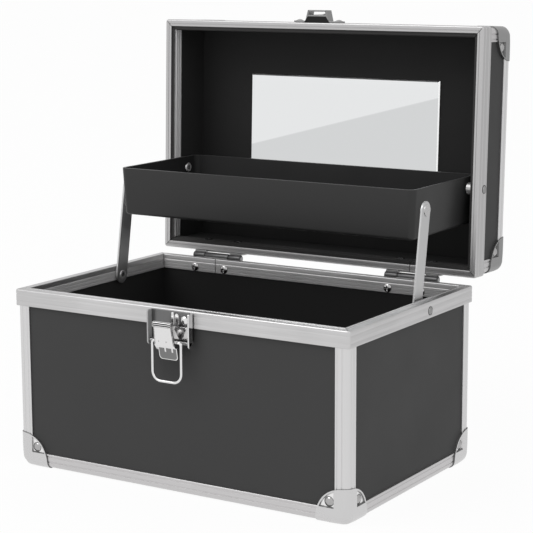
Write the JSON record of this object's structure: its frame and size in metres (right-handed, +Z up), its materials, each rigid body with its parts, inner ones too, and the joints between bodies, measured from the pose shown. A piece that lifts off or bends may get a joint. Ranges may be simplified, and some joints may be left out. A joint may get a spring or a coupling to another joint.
{
  "type": "makeup train case",
  "caption": "Boxy makeup case of dark boards in aluminium edging, with a hinged mirror lid, a tray that lifts out with the lid on side arms, a toggle latch and a carrying handle.",
  "frame": {"origin": "Centre of the footprint on the floor: midway between the sides and between the front and back of the base, level with the undersides of the lower corner guards.", "axes": "+X to the right along the front seen from the latch side, +Y from the latch to the hinges, +Z up. The lid stands open in the stored pose."},
  "size_m": [0.2524, 0.2404, 0.2947],
  "materials": {
    "charcoal_laminate": "hard board faced with a matt charcoal laminate",
    "satin_aluminium": "satin anodised extrusion",
    "corner_nickel": "bright nickel on pressed sheet steel",
    "fastener_nickel": "nickel-plated steel",
    "hinge_nickel": "nickel-plated steel",
    "latch_nickel": "bright nickel plate",
    "arm_steel": "grey zinc-plated strip",
    "tray_plastic": "black moulded plastic",
    "black_lining": "thin black lining sheet, matt",
    "mirror_glass": "silvered glass",
    "handle_plastic": "black moulded plastic, satin"
  },
  "bodies": {
    "base": {"arm_pivots": "fastener_nickel", "base_back_board": "charcoal_laminate", "base_end_board": "charcoal_laminate", "base_front_board": "charcoal_laminate", "base_guard_back_left": "corner_nickel", "base_guard_back_right": "corner_nickel", "base_guard_front_left": "corner_nickel", "base_guard_front_right": "corner_nickel", "base_guard_rivets": "fastener_nickel", "base_hinge_screws": "fastener_nickel", "base_left_board": "charcoal_laminate", "base_lining": "black_lining", "base_post_back_left": "satin_aluminium", "base_post_back_right": "satin_aluminium", "base_post_front_left": "satin_aluminium", "base_post_front_right": "satin_aluminium", "base_rail_back": "satin_aluminium", "base_rail_front": "satin_aluminium", "base_rail_left": "satin_aluminium", "base_rail_right": "satin_aluminium", "base_right_board": "charcoal_laminate", "base_rim": "satin_aluminium", "hinge_base_leaf_left": "hinge_nickel", "hinge_base_leaf_right": "hinge_nickel", "hinge_pins": "hinge_nickel", "latch_channel": "latch_nickel", "latch_pin": "latch_nickel", "latch_rivets": "fastener_nickel"},
    "lid": {"handle_brackets": "hinge_nickel", "handle_rivets": "fastener_nickel", "hinge_lid_leaf_left": "hinge_nickel", "hinge_lid_leaf_right": "hinge_nickel", "keeper": "latch_nickel", "keeper_rivets": "fastener_nickel", "lid_back_board": "charcoal_laminate", "lid_end_board": "charcoal_laminate", "lid_front_board": "charcoal_laminate", "lid_guard_back_left": "corner_nickel", "lid_guard_back_right": "corner_nickel", "lid_guard_front_left": "corner_nickel", "lid_guard_front_right": "corner_nickel", "lid_guard_rivets": "fastener_nickel", "lid_hinge_screws": "fastener_nickel", "lid_left_board": "charcoal_laminate", "lid_lining": "black_lining", "lid_long_rails": "satin_aluminium", "lid_posts": "satin_aluminium", "lid_right_board": "charcoal_laminate", "lid_rim": "satin_aluminium", "lid_short_rails": "satin_aluminium", "mirror": "mirror_glass", "tray_pivots": "fastener_nickel"},
    "tray": {"tray": "tray_plastic", "tray_arm_pivots": "fastener_nickel"},
    "left_arm": {"left_arm": "arm_steel"},
    "right_arm": {"right_arm": "arm_steel"},
    "latch_lever": {"latch_lever": "latch_nickel"},
    "latch_bail": {"latch_bail": "latch_nickel"},
    "handle": {"handle_grip": "handle_plastic"}
  },
  "joints": [
    {"name": "lid_hinge", "type": "hinge", "parent": "base", "child": "lid", "pos_m": [0, 0.0856, 0.1188], "axis": [1, 0, 0], "range_deg": [0, 92]},
    {"name": "tray_pivot", "type": "hinge", "parent": "lid", "child": "tray", "pos_m": [0, 0.09595, 0.18028], "axis": [1, 0, 0], "range_deg": [-92, 0]},
    {"name": "left_arm_pivot", "type": "hinge", "parent": "base", "child": "left_arm", "pos_m": [-0.11545, 0.0205, 0.1126], "axis": [1, 0, 0], "range_deg": [0, 92]},
    {"name": "right_arm_pivot", "type": "hinge", "parent": "base", "child": "right_arm", "pos_m": [0.11545, 0.0205, 0.1126], "axis": [1, 0, 0], "range_deg": [0, 92]},
    {"name": "handle_fold", "type": "hinge", "parent": "lid", "child": "handle", "pos_m": [0, 0.13786, 0.20263], "axis": [1, 0, 0], "range_deg": [0, 180]},
    {"name": "latch_lever_pivot", "type": "hinge", "parent": "base", "child": "latch_lever", "pos_m": [0, -0.0852, 0.0986], "axis": [1, 0, 0], "range_deg": [-25, 0]},
    {"name": "latch_bail_pivot", "type": "hinge", "parent": "latch_lever", "child": "latch_bail", "pos_m": [0, -0.0888, 0.0995], "axis": [1, 0, 0], "range_deg": [-142, 8]}
  ],
  "couplings": [
    {"joint": "tray_pivot", "follows": "lid_hinge", "ratio": -1},
    {"joint": "left_arm_pivot", "follows": "lid_hinge", "ratio": 1},
    {"joint": "right_arm_pivot", "follows": "lid_hinge", "ratio": 1}
  ]
}
